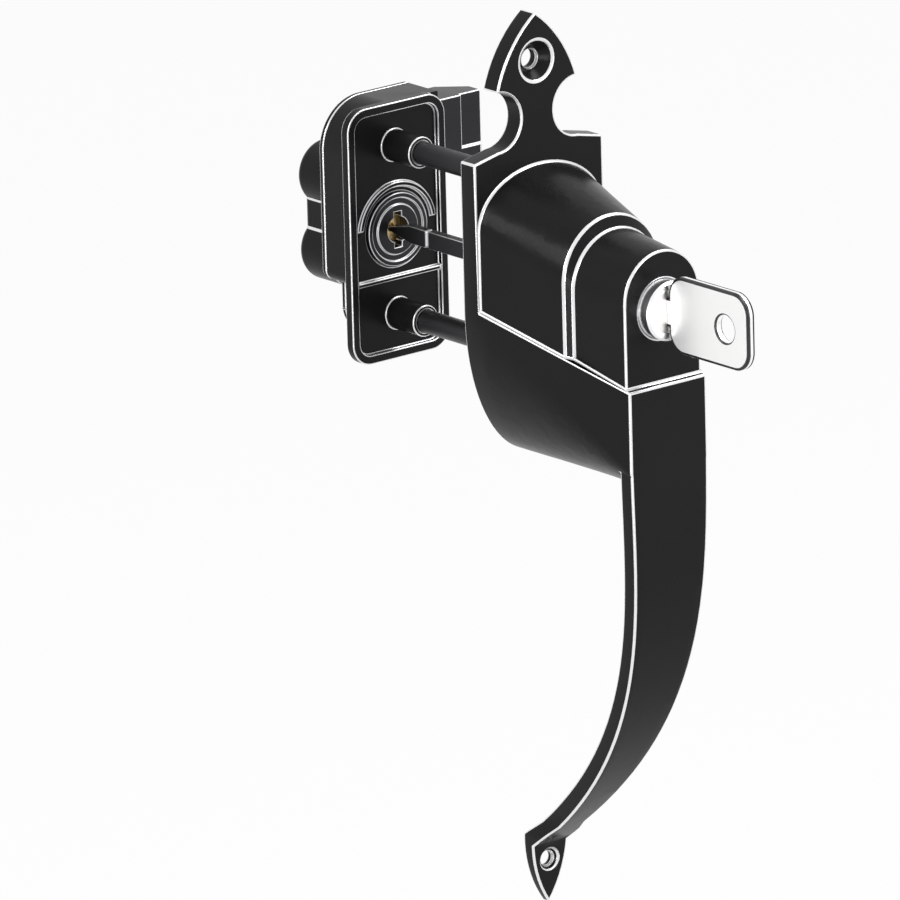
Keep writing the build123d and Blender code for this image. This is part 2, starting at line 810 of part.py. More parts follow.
def slanted_slot(slot_r):
    """The slot that turns the push along Y into the bolt's travel along X, in the X-Y plane."""
    length = (bolt_throw ** 2 + button_travel ** 2) ** 0.5
    angle = degrees(asin(button_travel / length))
    middle = Pos(bolt_throw / 2, push_start_y + button_travel / 2)
    return middle * SlotOverall(length + 2 * slot_r, 2 * slot_r, rotation=angle)


def bolt_spring_y():
    """Depth of the bolt spring's axis, mid nose."""
    return (tail_front() + cover_front - body_clear) / 2


def make_push_cup():
    """The cup inside the hub that the blade's point bears on."""
    front = blade_tip_y + 2 * keyway_clear
    cup_r = hub_bore_r - 2 * keyway_clear
    body = rod(cup_r, front, push_start_y + push_pin_r + cup_back)
    body -= sink(cup_dimple_r, cup_dimple_tip_r, front, 1)
    return body - bar_z(push_pin_r, -2 * keyway_clear, cup_r + over, y=push_start_y)


def make_push_pin():
    """The upright pin of the cup, which reaches up into the bolt's slanted slot."""
    return bar_z(push_pin_r, -2 * keyway_clear, tail_split_z - body_clear, y=push_start_y)


def make_knob():
    """The two-lobed inside turn knob, pinched to a waist over its shaft."""
    front = case_back + knob_gap
    back = front + knob_depth
    lobe_z = knob_half_height - knob_lobe_r
    sketch = Pos(0, lobe_z) * Circle(knob_lobe_r) + Pos(0, -lobe_z) * Circle(knob_lobe_r)
    sketch += Rectangle(2 * knob_waist, 2 * lobe_z)
    body = prism(sketch, front, back)
    body += rod(knob_shaft_r + knob_collar, case_back + body_clear, front + over)
    scoop_y = (front + back) / 2 + knob_scoop_back
    for side in (1, -1):
        body -= Pos(side * (knob_lobe_r + knob_scoop_out), scoop_y, 0) * Sphere(knob_scoop_r)
    rim = body.edges().group_by(Axis.Y)[-1]
    body = fillet(rim, knob_rim)
    bore = rod(knob_shaft_r + snug, case_back, back - hub_tail_back + 2 * keyway_clear)
    flat = knob_shaft_r - hub_flat + keyway_clear
    body -= bore - block(-hub_r, hub_r, front, back, flat, hub_r)
    return body - bar_z(set_screw_r, flat - over, knob_half_height + over, y=set_screw_y())


def set_screw_y():
    """Depth of the knob's set screw, a little in front of the knob's middle."""
    return case_back + knob_gap + knob_depth / 2 - set_screw_front


def make_set_screw():
    """The slotted screw that pins the knob to the flat on its shaft."""
    middle = set_screw_y()
    top = knob_half_height + over
    low = knob_shaft_r - hub_flat + 2 * keyway_clear
    screw = bar_z(set_screw_r - snug, low, top, y=middle)
    screw = chamfer(screw.edges().group_by(Axis.Z)[-1], set_screw_chamfer)
    slot_low = middle - set_screw_slot
    slot_high = middle + set_screw_slot
    slot_floor = top - set_screw_slot_deep
    return screw - block(-knob_shaft_r, knob_shaft_r, slot_low, slot_high, slot_floor, top + over)


save("handle_casting", make_handle())
save("upper_post", make_post(1))
save("lower_post", make_post(-1))
save("push_button", make_button())
save("lock_plug", make_plug())
save("tumblers", Compound(children=[make_tumbler(index) for index in range(tumbler_count)]))
save("key", make_key())
save("spindle", make_spindle())
save("spindle_pin", bar_x(spindle_pin_r, -plug_neck_r + plug_clear, plug_neck_r - plug_clear, y=pin_y()))
clip = rod(button_r - clip_inset, clip_y, clip_y + clip_thick)
save("plug_clip", clip - rod(plug_neck_r + snug, clip_y - over, clip_y + clip_thick + over))
save("locking_lug", make_locking_lug())
save("lock_plate", make_lock_plate())
lock_screws = []
for side in (1, -1):
    head_seat = -seat_out + lock_plate_thick
    tip = -seat_out - lock_screw_length + over
    z = side * lock_screw_z
    lock_screws.append(make_pan_screw(lock_screw_r, small_head_r, small_head_thick, head_seat, tip, z=z))
save("lock_plate_screws", Compound(children=lock_screws))
spring_r = (button_r + cavity_r) / 2
save("button_spring", coil(spring_r, spring_wire, flange_back, -seat_out, spring_turns))

save("latch_case", make_case())
save("case_cover", make_cover())
cover_screw_tip = cover_front - cover_screw_grip
save("cover_screws", Compound(children=[
    make_pan_screw(cover_screw_r, small_head_r, cover_head_thick, case_back, cover_screw_tip, x=x, z=z)
    for x, z in cover_screw_spots()
]))
save("mounting_screws", Compound(children=[
    make_pan_screw(
        screw_r, screw_head_r, screw_head_thick, case_back, door_gap - boss_length - screw_grip, z=side * post_z
    )
    for side in (1, -1)
]))
save("hub", make_hub())
save("hub_arm", make_hub_arm())
save("arm_pin", make_arm_pin())
save("push_cup", make_push_cup())
save("push_pin", make_push_pin())
save("latch_bolt", make_bolt())
spring_left = boss_r + 2 * keyway_clear
spring_right = nose_reach - bolt_spring_wall
coil_r = bolt_spring_r - bolt_spring_wire / 2
bolt_coil = coil(coil_r, bolt_spring_wire, spring_left, spring_right, bolt_spring_turns)
save("bolt_spring", Pos(0, bolt_spring_y(), post_z) * Rot(0, 0, -90) * bolt_coil)
save("inside_knob", make_knob())
save("knob_set_screw", make_set_screw())
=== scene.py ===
import json
import math

import bmesh
import bpy
from mathutils import Matrix, Vector
from mathutils.bvhtree import BVHTree


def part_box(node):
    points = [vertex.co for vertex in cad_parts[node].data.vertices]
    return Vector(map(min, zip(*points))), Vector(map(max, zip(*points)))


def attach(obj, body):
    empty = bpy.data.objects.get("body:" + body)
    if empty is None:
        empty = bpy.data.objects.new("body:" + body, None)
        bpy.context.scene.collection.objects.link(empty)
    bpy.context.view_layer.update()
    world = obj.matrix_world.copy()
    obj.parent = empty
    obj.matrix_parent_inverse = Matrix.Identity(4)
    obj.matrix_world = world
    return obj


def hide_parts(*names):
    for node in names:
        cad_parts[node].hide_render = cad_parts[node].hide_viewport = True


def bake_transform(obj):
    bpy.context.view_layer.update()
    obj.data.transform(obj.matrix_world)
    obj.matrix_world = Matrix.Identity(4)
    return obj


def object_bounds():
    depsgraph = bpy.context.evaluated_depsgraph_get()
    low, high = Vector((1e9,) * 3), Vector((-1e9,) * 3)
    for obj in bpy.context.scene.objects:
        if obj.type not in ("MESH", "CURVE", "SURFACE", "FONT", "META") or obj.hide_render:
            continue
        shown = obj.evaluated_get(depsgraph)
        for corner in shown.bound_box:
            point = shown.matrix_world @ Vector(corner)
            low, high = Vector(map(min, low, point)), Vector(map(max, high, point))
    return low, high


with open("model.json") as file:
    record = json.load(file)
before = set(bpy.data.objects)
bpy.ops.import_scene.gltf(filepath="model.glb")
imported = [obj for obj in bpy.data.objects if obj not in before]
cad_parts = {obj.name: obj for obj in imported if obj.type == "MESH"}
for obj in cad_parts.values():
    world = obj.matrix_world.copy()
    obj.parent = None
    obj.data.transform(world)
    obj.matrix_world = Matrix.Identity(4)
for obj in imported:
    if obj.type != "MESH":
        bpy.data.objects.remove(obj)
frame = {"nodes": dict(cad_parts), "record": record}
cad_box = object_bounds()
nodes = frame["nodes"]
scene = bpy.context.scene
scene.view_settings.view_transform = "Standard"


# View: the drawing looks at the pull from its left and a little above, with almost no perspective.
# The camera's side angle, height and small roll come from the drawn edges of plate, housing and latch.
view_side = math.radians(-39.2)
view_height = math.radians(16.3)
view_roll = math.radians(-1.5)
view_distance = 4.0
pixels_per_metre = 3960.0
picture_size = 900
origin_pixel = (527.0, 268.0)
sensor = 36.0
camera_data = bpy.data.cameras.new("view_camera")
camera = bpy.data.objects.new("view_camera", camera_data)
scene.collection.objects.link(camera)
scene.camera = camera
camera_data.sensor_width = sensor
camera_data.lens = pixels_per_metre * view_distance * sensor / picture_size
camera_data.clip_end = 20.0
backward = Vector((
    math.sin(view_side) * math.cos(view_height),
    -math.cos(view_side) * math.cos(view_height),
    math.sin(view_height),
))
turn = backward.to_track_quat("Z", "Y").to_matrix().to_4x4() @ Matrix.Rotation(view_roll, 4, "Z")
right = turn.col[0].to_3d()
upward = turn.col[1].to_3d()
middle = picture_size / 2
aim = right * (middle - origin_pixel[0]) + upward * (origin_pixel[1] - middle)
camera.matrix_world = Matrix.Translation(aim / pixels_per_metre + backward * view_distance) @ turn


# Studio: a pale floor well below the pull, a white surround, and four soft panels.
# The tall panel beside the camera is what the rounded edges of the black casting mirror, on top of the
# painted highlight they carry.
floor_drop = 0.10
floor_half = 6.0
floor_whiteness = 0.93
surround_strength = 0.45
panels_aim = Vector((0, 0, -0.04))


def seen_white(tree):
    """A socket that is 1 for the rays that see plain white: the camera's own and the mirrored ones."""
    path = tree.nodes.new("ShaderNodeLightPath")
    seen = tree.nodes.new("ShaderNodeMath")
    seen.operation = "MAXIMUM"
    tree.links.new(path.outputs["Is Camera Ray"], seen.inputs[0])
    tree.links.new(path.outputs["Is Glossy Ray"], seen.inputs[1])
    return seen.outputs[0]


floor_mesh = bpy.data.meshes.new("floor")
floor_z = cad_box[0][2] - floor_drop
corners = ((-1, -1), (1, -1), (1, 1), (-1, 1))
floor_mesh.from_pydata([(x * floor_half, y * floor_half, floor_z) for x, y in corners], [], [(0, 1, 2, 3)])
floor = bpy.data.objects.new("floor", floor_mesh)
scene.collection.objects.link(floor)
floor_paint = bpy.data.materials.new("floor_paint")
floor_paint.use_nodes = True
floor_mesh.materials.append(floor_paint)
tree = floor_paint.node_tree
shader = tree.nodes["Principled BSDF"]
shader.inputs["Base Color"].default_value = (0.9, 0.9, 0.9, 1)
shader.inputs["Roughness"].default_value = 0.9
shader.inputs["Specular IOR Level"].default_value = 0.0
glow = tree.nodes.new("ShaderNodeEmission")
glow.inputs["Color"].default_value = (1, 1, 1, 1)
glow.inputs["Strength"].default_value = 1.0
share = tree.nodes.new("ShaderNodeMath")
share.operation = "MULTIPLY"
share.inputs[1].default_value = floor_whiteness
tree.links.new(seen_white(tree), share.inputs[0])
mixer = tree.nodes.new("ShaderNodeMixShader")
tree.links.new(share.outputs[0], mixer.inputs[0])
tree.links.new(shader.outputs[0], mixer.inputs[1])
tree.links.new(glow.outputs[0], mixer.inputs[2])
tree.links.new(mixer.outputs[0], tree.nodes["Material Output"].inputs["Surface"])

world = bpy.data.worlds.new("studio")
scene.world = world
world.use_nodes = True
tree = world.node_tree
dim = tree.nodes["Background"]
dim.inputs["Color"].default_value = (1, 1, 1, 1)
dim.inputs["Strength"].default_value = surround_strength
plain = tree.nodes.new("ShaderNodeBackground")
plain.inputs["Color"].default_value = (1, 1, 1, 1)
plain.inputs["Strength"].default_value = 1.0
mixer = tree.nodes.new("ShaderNodeMixShader")
tree.links.new(seen_white(tree), mixer.inputs[0])
tree.links.new(dim.outputs[0], mixer.inputs[1])
tree.links.new(plain.outputs[0], mixer.inputs[2])
tree.links.new(mixer.outputs[0], tree.nodes["World Output"].inputs["Surface"])

panels = [
    ("edge_panel", (-0.62, -0.50, -0.26), 0.12, 0.70, 3.0),
    ("top_panel", (0.45, -0.20, 0.75), 0.50, 0.50, 5.0),
    ("left_panel", (-0.85, 0.10, 0.45), 0.40, 0.40, 3.0),
    ("front_panel", (0.35, -0.95, 0.15), 0.30, 0.60, 2.0),
]
for name, spot, width, height, power in panels:
    lamp = bpy.data.lights.new(name, "AREA")
    lamp.shape = "RECTANGLE"
    lamp.size = width
    lamp.size_y = height
    lamp.energy = power
    holder = bpy.data.objects.new(name, lamp)
    scene.collection.objects.link(holder)
    spot = Vector(spot)
    facing = (spot - panels_aim).to_track_quat("Z", "Y").to_matrix().to_4x4()
    holder.matrix_world = Matrix.Translation(spot) @ facing


# Handle casting: one zinc die casting, spear-topped plate, stepped housing, neck, grip and foot.
# It is sprayed with semi-gloss black enamel, whose film rounds every edge and shows faint orange peel.
bump_depth = 0.0002
merge_distance = 0.000002
flat_angle = math.radians(0.1)
steep_fold = math.radians(60.0)


def noise(tree, coords, scale, detail):
    """A noise texture's value at the given coordinates."""
    texture = tree.nodes.new("ShaderNodeTexNoise")
    texture.inputs["Scale"].default_value = scale
    texture.inputs["Detail"].default_value = detail
    tree.links.new(coords, texture.inputs["Vector"])
    return texture.outputs["Fac"]


def new_group(name, numbers, outputs):
    """An empty shader node group with named number inputs and the given outputs."""
    group = bpy.data.node_groups.new(name, "ShaderNodeTree")
    group.interface.new_socket("Vector", in_out="INPUT", socket_type="NodeSocketVector")
    for label, value in numbers:
        socket = group.interface.new_socket(label, in_out="INPUT", socket_type="NodeSocketFloat")
        socket.default_value = value
    for label, kind in outputs:
        group.interface.new_socket(label, in_out="OUTPUT", socket_type=kind)
    return group, group.nodes.new("NodeGroupInput"), group.nodes.new("NodeGroupOutput")


def to_range(tree, value, low, high):
    """Spreads a 0 to 1 value between two numbers or sockets."""
    spread = tree.nodes.new("ShaderNodeMapRange")
    tree.links.new(value, spread.inputs["Value"])
    for label, end in (("To Min", low), ("To Max", high)):
        if isinstance(end, bpy.types.NodeSocket):
            tree.links.new(end, spread.inputs[label])
        else:
            spread.inputs[label].default_value = end
    return spread.outputs["Result"]


enamel_film, start, end = new_group(
    "enamel_film",
    [("Peel Scale", 900.0), ("Rough Low", 0.2), ("Rough High", 0.34)],
    [("Height", "NodeSocketFloat"), ("Roughness", "NodeSocketFloat"), ("Cloud", "NodeSocketFloat")],
)
peel = enamel_film.nodes.new("ShaderNodeTexNoise")
peel.inputs["Detail"].default_value = 1.5
enamel_film.links.new(start.outputs["Vector"], peel.inputs["Vector"])
enamel_film.links.new(start.outputs["Peel Scale"], peel.inputs["Scale"])
enamel_film.links.new(peel.outputs["Fac"], end.inputs["Height"])
cloud = noise(enamel_film, start.outputs["Vector"], scale=38.0, detail=4.0)
rough = to_range(enamel_film, cloud, start.outputs["Rough Low"], start.outputs["Rough High"])
enamel_film.links.new(rough, end.inputs["Roughness"])
enamel_film.links.new(cloud, end.inputs["Cloud"])


def finish_material(name, group, values, base, metallic, bump, tint):
    """A Principled material whose colour, roughness and bump come from one of the shared groups."""
    material = bpy.data.materials.new(name)
    material.use_nodes = True
    tree = material.node_tree
    shader = tree.nodes["Principled BSDF"]
    shader.inputs["Metallic"].default_value = metallic
    where = tree.nodes.new("ShaderNodeTexCoord")
    effect = tree.nodes.new("ShaderNodeGroup")
    effect.node_tree = group
    tree.links.new(where.outputs["Object"], effect.inputs["Vector"])
    for label, value in values.items():
        effect.inputs[label].default_value = value
    blend = tree.nodes.new("ShaderNodeMix")
    blend.data_type = "RGBA"
    blend.inputs["A"].default_value = (*base, 1)
    blend.inputs["B"].default_value = (*[channel * (1 + tint) for channel in base], 1)
    tree.links.new(effect.outputs["Cloud"], blend.inputs["Factor"])
    tree.links.new(blend.outputs["Result"], shader.inputs["Base Color"])
    tree.links.new(effect.outputs["Roughness"], shader.inputs["Roughness"])
    relief = tree.nodes.new("ShaderNodeBump")
    relief.inputs["Strength"].default_value = bump
    relief.inputs["Distance"].default_value = bump_depth
    tree.links.new(effect.outputs["Height"], relief.inputs["Height"])
    tree.links.new(relief.outputs["Normal"], shader.inputs["Normal"])
    return material


def dress(node, material):
    """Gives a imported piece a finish, in its own material slots."""
    mesh = nodes[node].data
    mesh.materials.clear()
    mesh.materials.append(material)


body_of = {
    node: body for body, names in frame["record"]["behaviour"]["bodies"].items() for node in names
}


def stand_in(piece, node):
    """Lets a finished piece take a packed one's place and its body."""
    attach(piece, body_of[node])
    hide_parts(node)


def merged(node):
    """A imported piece's mesh with its doubles merged and its flat faces made whole."""
    work = bmesh.new()
    work.from_mesh(nodes[node].data)
    bmesh.ops.remove_doubles(work, verts=work.verts, dist=merge_distance)
    bmesh.ops.dissolve_limit(work, angle_limit=flat_angle, verts=work.verts, edges=work.edges)
    for face in work.faces:
        face.smooth = True
        face.material_index = 0
    return work


def applied(piece):
    """Turns a piece's live modifiers into its plain mesh."""
    shown = bpy.context.evaluated_depsgraph_get()
    mesh = bpy.data.meshes.new_from_object(piece.evaluated_get(shown))
    piece.modifiers.clear()
    piece.data = mesh


def softened(node, name, face_finish, edge_finish, width, angle=28.0, shape=None, stays_sharp=None):
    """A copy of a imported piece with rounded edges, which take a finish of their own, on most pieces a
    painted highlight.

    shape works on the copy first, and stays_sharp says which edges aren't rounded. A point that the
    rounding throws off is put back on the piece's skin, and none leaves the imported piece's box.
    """
    work = merged(node)
    if shape:
        shape(work)
    weight = work.edges.layers.float.new("bevel_weight_edge")
    for edge in work.edges:
        if len(edge.link_faces) == 2 and edge.calc_face_angle() > math.radians(angle):
            kept = bool(stays_sharp and stays_sharp(edge))
            edge[weight] = 0.0 if kept else 1.0
            edge.smooth = not kept or edge.calc_face_angle() < steep_fold
    skin = BVHTree.FromBMesh(work)
    mesh = bpy.data.meshes.new(name)
    work.to_mesh(mesh)
    work.free()
    mesh.materials.append(face_finish)
    mesh.materials.append(edge_finish)
    piece = bpy.data.objects.new(name, mesh)
    scene.collection.objects.link(piece)
    rounding = piece.modifiers.new("rounding", "BEVEL")
    rounding.width = width
    rounding.segments = 2
    rounding.limit_method = "WEIGHT"
    rounding.use_clamp_overlap = False
    rounding.material = 1
    applied(piece)
    low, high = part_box(node)
    for vert in piece.data.vertices:
        spot, _, _, gap = skin.find_nearest(vert.co)
        if gap > width:
            vert.co = spot
        vert.co = [min(max(value, least), most) for value, least, most in zip(vert.co, low, high)]
    shading = piece.modifiers.new("shading", "WEIGHTED_NORMAL")
    shading.mode = "FACE_AREA"
    shading.keep_sharp = True
    applied(piece)
    stand_in(piece, node)


black_enamel = finish_material(
    "black_enamel", enamel_film, {"Peel Scale": 900.0, "Rough Low": 0.22, "Rough High": 0.34},
    (0.007, 0.007, 0.0075), metallic=0.0, bump=0.1, tint=0.5,
)
black_enamel.node_tree.nodes["Principled BSDF"].inputs["Specular IOR Level"].default_value = 0.12
# Painted highlight: a pale metallic finish for the rounded edges, bright lines that stand in for light
# catching them.
painted_edge_highlight = finish_material(
    "painted_edge_highlight", enamel_film, {"Peel Scale": 900.0, "Rough Low": 0.2, "Rough High": 0.3},
    (0.78, 0.78, 0.79), metallic=0.6, bump=0.03, tint=0.1,
)
neck_join_y = (-0.0525, -0.0496)
neck_join_z = (-0.0470, -0.0400)
waist_z = (-0.1475, -0.1415)
foot_join_z = (-0.1532, -0.1500)
foot_join_y = -0.001
foot_hole_z = -0.156
foot_sink = (0.0030, 0.0034)
foot_ring_y = -0.00275
cone_lean = 0.3


def at_soft_fold(edge):
    """True for the inner folds where neck, grip and foot run together, and round the foot's sunk hole."""
    middle = (edge.verts[0].co + edge.verts[1].co) / 2
    along = (edge.verts[0].co - edge.verts[1].co).normalized()
    at_neck = neck_join_y[0] < middle.y < neck_join_y[1] and neck_join_z[0] < middle.z < neck_join_z[1]
    under_neck = at_neck and abs(along.z) < 0.9
    in_waist = abs(along.y) > 0.95 and waist_z[0] < middle.z < waist_z[1]
    at_foot = middle.y < foot_join_y and foot_join_z[0] < middle.z < foot_join_z[1]
    over_foot = at_foot and abs(along.z) < 0.5
    from_hole = math.hypot(middle.x, middle.z - foot_hole_z)
    round_hole = foot_sink[0] < from_hole < foot_sink[1] and middle.y < foot_ring_y
    return under_neck or in_waist or over_foot or round_hole


def ring_foot_hole(work):
    """Splits the rim off the foot's countersink and gives it the painted edge highlight, a bright ring that
    stands in for light on the rim.
    """
    def in_sink(face):
        spots = [vert.co for vert in face.verts]
        return all(math.hypot(spot.x, spot.z - foot_hole_z) < foot_sink[1] for spot in spots)

    cone = [face for face in work.faces if in_sink(face)]
    edges = list({edge for face in cone for edge in face.edges})
    verts = list({vert for face in cone for vert in face.verts})
    bmesh.ops.bisect_plane(work, geom=verts + edges + cone, plane_co=(0, foot_ring_y, 0), plane_no=(0, 1, 0))
    for face in work.faces:
        if in_sink(face) and face.calc_center_median().y < foot_ring_y and abs(face.normal.y) > cone_lean:
            face.material_index = 1


# The casting's rounded edges and the foot hole's rim carry the painted highlight.
softened(
    "handle_casting", "casting_body", black_enamel, painted_edge_highlight, width=0.0005, angle=24.0,
    shape=ring_foot_hole, stays_sharp=at_soft_fold,
)


# Posts: two turned steel posts pressed into the plate's back, tapped for the screws from indoors.
# They are blackened, and the turning tool leaves fine rings round them.
turned_rings, start, end = new_group(
    "turned_rings",
    [("Ring Scale", 1400.0), ("Rough Low", 0.2), ("Rough High", 0.4)],
    [("Height", "NodeSocketFloat"), ("Roughness", "NodeSocketFloat"), ("Cloud", "NodeSocketFloat")],
)
wave = turned_rings.nodes.new("ShaderNodeTexWave")
wave.wave_type = "BANDS"
wave.bands_direction = "Y"
wave.inputs["Distortion"].default_value = 0.6
turned_rings.links.new(start.outputs["Vector"], wave.inputs["Vector"])
turned_rings.links.new(start.outputs["Ring Scale"], wave.inputs["Scale"])
turned_rings.links.new(wave.outputs["Fac"], end.inputs["Height"])
cloud = noise(turned_rings, start.outputs["Vector"], scale=90.0, detail=4.0)
rough = to_range(turned_rings, cloud, start.outputs["Rough Low"], start.outputs["Rough High"])
turned_rings.links.new(rough, end.inputs["Roughness"])
turned_rings.links.new(cloud, end.inputs["Cloud"])
black_oxide = finish_material(
    "black_oxide", turned_rings, {"Ring Scale": 900.0, "Rough Low": 0.28, "Rough High": 0.42},
    (0.03, 0.03, 0.032), metallic=0.9, bump=0.15, tint=0.4,
)
dress("upper_post", black_oxide)
dress("lower_post", black_oxide)


# Push button: a turned brass sleeve with bright chrome plate, and a thin flange inside the housing.
# Thumbs leave faint smears on it, which show as slow changes of gloss.
chrome = finish_material(
    "chrome", turned_rings, {"Ring Scale": 500.0, "Rough Low": 0.24, "Rough High": 0.32},
    (0.9, 0.905, 0.91), metallic=1.0, bump=0.01, tint=0.02,
)
dress("push_button", chrome)


# Lock plug and key: nickel-plated, the key stamped from flat stock with its edges tumbled smooth.
# The grain of the rolled stock runs along the bow.
rolled_grain, start, end = new_group(
    "rolled_grain",
    [("Grain Scale", 700.0), ("Rough Low", 0.2), ("Rough High", 0.35)],
    [("Height", "NodeSocketFloat"), ("Roughness", "NodeSocketFloat"), ("Cloud", "NodeSocketFloat")],
)
stretch = rolled_grain.nodes.new("ShaderNodeMapping")
stretch.inputs["Scale"].default_value = (1.0, 0.06, 1.0)
rolled_grain.links.new(start.outputs["Vector"], stretch.inputs["Vector"])
grain = rolled_grain.nodes.new("ShaderNodeTexNoise")
grain.inputs["Detail"].default_value = 3.0
rolled_grain.links.new(stretch.outputs["Vector"], grain.inputs["Vector"])
rolled_grain.links.new(start.outputs["Grain Scale"], grain.inputs["Scale"])
rolled_grain.links.new(grain.outputs["Fac"], end.inputs["Height"])
rough = to_range(rolled_grain, grain.outputs["Fac"], start.outputs["Rough Low"], start.outputs["Rough High"])
rolled_grain.links.new(rough, end.inputs["Roughness"])
cloud = noise(rolled_grain, start.outputs["Vector"], scale=70.0, detail=3.0)
rolled_grain.links.new(cloud, end.inputs["Cloud"])
nickel = finish_material(
    "nickel", rolled_grain, {"Grain Scale": 1500.0, "Rough Low": 0.34, "Rough High": 0.42},
    (0.88, 0.87, 0.85), metallic=1.0, bump=0.02, tint=0.03,
)
dress("lock_plug", nickel)
key_plate = finish_material(
    "key_plate", rolled_grain, {"Grain Scale": 1500.0, "Rough Low": 0.30, "Rough High": 0.36},
    (0.92, 0.92, 0.91), metallic=0.45, bump=0.02, tint=0.02,
)
# Painted shade: a near-black finish for the key's rounded edges and chamfers, dark lines that stand in for
# shade along them.
painted_edge_shade = finish_material(
    "painted_edge_shade", enamel_film, {"Peel Scale": 900.0, "Rough Low": 0.25, "Rough High": 0.4},
    (0.06, 0.06, 0.06), metallic=0.9, bump=0.05, tint=0.3,
)
chamfer_lean = (0.3, 0.95)


def darken_chamfers(work):
    """Gives the key's chamfers the painted shade, dark lines along its edges."""
    for face in work.faces:
        if chamfer_lean[0] < abs(face.normal.x) < chamfer_lean[1]:
            face.material_index = 1


# The key's rounded edges and chamfers carry the painted shade.
softened("key", "key_blank", key_plate, painted_edge_shade, width=0.00045, angle=20.0, shape=darken_chamfers)


# Tumblers and push cup: brass, stamped and turned, inside the plug and the hub.
# The cup's face shows in the hub's slot, and the wafers only when the lock is apart.
brass = finish_material(
    "brass", rolled_grain, {"Grain Scale": 1200.0, "Rough Low": 0.25, "Rough High": 0.4},
    (0.72, 0.53, 0.25), metallic=1.0, bump=0.1, tint=0.1,
)
dress("tumblers", brass)
dress("push_cup", brass)


# Lock hardware: clip, lug and lock plate behind the button, zinc plated and blackened.
# Stamped from strip steel, so the grain runs one way.
black_zinc = finish_material(
    "black_zinc", rolled_grain, {"Grain Scale": 900.0, "Rough Low": 0.26, "Rough High": 0.42},
    (0.022, 0.022, 0.024), metallic=0.85, bump=0.12, tint=0.5,
)
for node in ("plug_clip", "locking_lug", "lock_plate"):
    dress(node, black_zinc)


# Springs: music wire, bright and a little brown from drawing.
# One returns the button from the lock plate, the other throws the bolt from the latch's upper boss.
wire = finish_material(
    "wire", rolled_grain, {"Grain Scale": 1100.0, "Rough Low": 0.18, "Rough High": 0.3},
    (0.42, 0.41, 0.40), metallic=1.0, bump=0.05, tint=0.1,
)


def coiled(node, name, axis, seat_end):
    """A copy of a packed spring, put in the packed one's place."""
    box = [Vector(corner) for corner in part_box(node)]
    seat = (box[0] + box[1]) / 2
    pushed = seat.copy()
    seat[axis] = box[seat_end][axis]
    pushed[axis] = box[1 - seat_end][axis]
    work = merged(node)
    mesh = bpy.data.meshes.new(name)
    work.to_mesh(mesh)
    work.free()
    mesh.materials.append(wire)
    piece = bpy.data.objects.new(name, mesh)
    scene.collection.objects.link(piece)
    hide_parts(node)
    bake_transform(piece)


coiled("button_spring", "return_coil", axis=1, seat_end=1)
coiled("bolt_spring", "bolt_coil", axis=0, seat_end=0)


# Spindle: a cold-rolled steel blade, pointed by a grinder and blackened.
# One bright score runs round it, where it is snapped shorter on a thin door.
score_from_tip = 0.016
score_half_width = 0.0007
score_slope = 0.0003
score_depth = 0.00035
score_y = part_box("spindle")[1][1] - score_from_tip
bright_steel = finish_material(
    "bright_steel", rolled_grain, {"Grain Scale": 900.0, "Rough Low": 0.25, "Rough High": 0.4},
    (0.72, 0.72, 0.72), metallic=1.0, bump=0.08, tint=0.1,
)


def cut_score(work):
    """Sinks a narrow band of the blade on all four sides."""
    floor_half_width = score_half_width - score_slope
    for offset in (-score_half_width, -floor_half_width, floor_half_width, score_half_width):
        bmesh.ops.bisect_plane(
            work, geom=work.verts[:] + work.edges[:] + work.faces[:],
            plane_co=(0, score_y + offset, 0), plane_no=(0, 1, 0),
        )
    for vert in work.verts:
        if abs(vert.co.y - score_y) < score_half_width - score_slope / 2:
            vert.co.x -= math.copysign(score_depth, vert.co.x)
            vert.co.z -= math.copysign(score_depth, vert.co.z) if abs(vert.co.z) > score_depth else 0.0
    for face in work.faces:
        if abs(face.calc_center_median().y - score_y) < score_half_width:
            face.material_index = 1


softened("spindle", "spindle_blade", black_oxide, bright_steel, width=0.0002, shape=cut_score)


# Pins: ground rod, blackened, one through the plug's tail and two in the latch.
# They show only when the lock is apart.
for node in ("spindle_pin", "arm_pin", "push_pin"):
    dress(node, black_oxide)


# Latch case and cover: a zinc casting with a rim round its face, painted as the handle is.
# The cover closes it on the room side.
bolt_side_x = 0.0142
plate_back_y = (0.0529, 0.0537)


def beside_bolt(edge):
    """True where the bolt's window comes so near the plate's back that no rounding fits between."""
    middle = (edge.verts[0].co + edge.verts[1].co) / 2
    return middle.x > bolt_side_x and plate_back_y[0] < middle.y < plate_back_y[1]


# The case's and cover's rounded edges carry the painted highlight.
softened("latch_case", "case_body", black_enamel, painted_edge_highlight, width=0.0003, stays_sharp=beside_bolt)
softened("case_cover", "case_back", black_enamel, painted_edge_highlight, width=0.0003)


# Hub and its arm: the hub is turned with a flange and a keyhole slot; the arm is stamped.
# Both are blackened steel.
# The hub's rounded edges carry the painted highlight.
softened("hub", "hub_turned", black_zinc, painted_edge_highlight, width=0.0002)
dress("hub_arm", black_zinc)


# Latch bolt: cast, bevelled and stepped, and polished by its strike.
# It is plated black like the hub.
# The bolt's rounded edges carry the painted highlight.
softened("latch_bolt", "bolt_nose", black_zinc, painted_edge_highlight, width=0.0003)


# Inside knob: a small two-lobed casting, enamelled, fixed to the hub's flat.
# The set screw that holds it stands just proud of the top lobe.
# The knob's rounded edges carry the painted highlight.
softened("inside_knob", "knob_casting", black_enamel, painted_edge_highlight, width=0.0004)


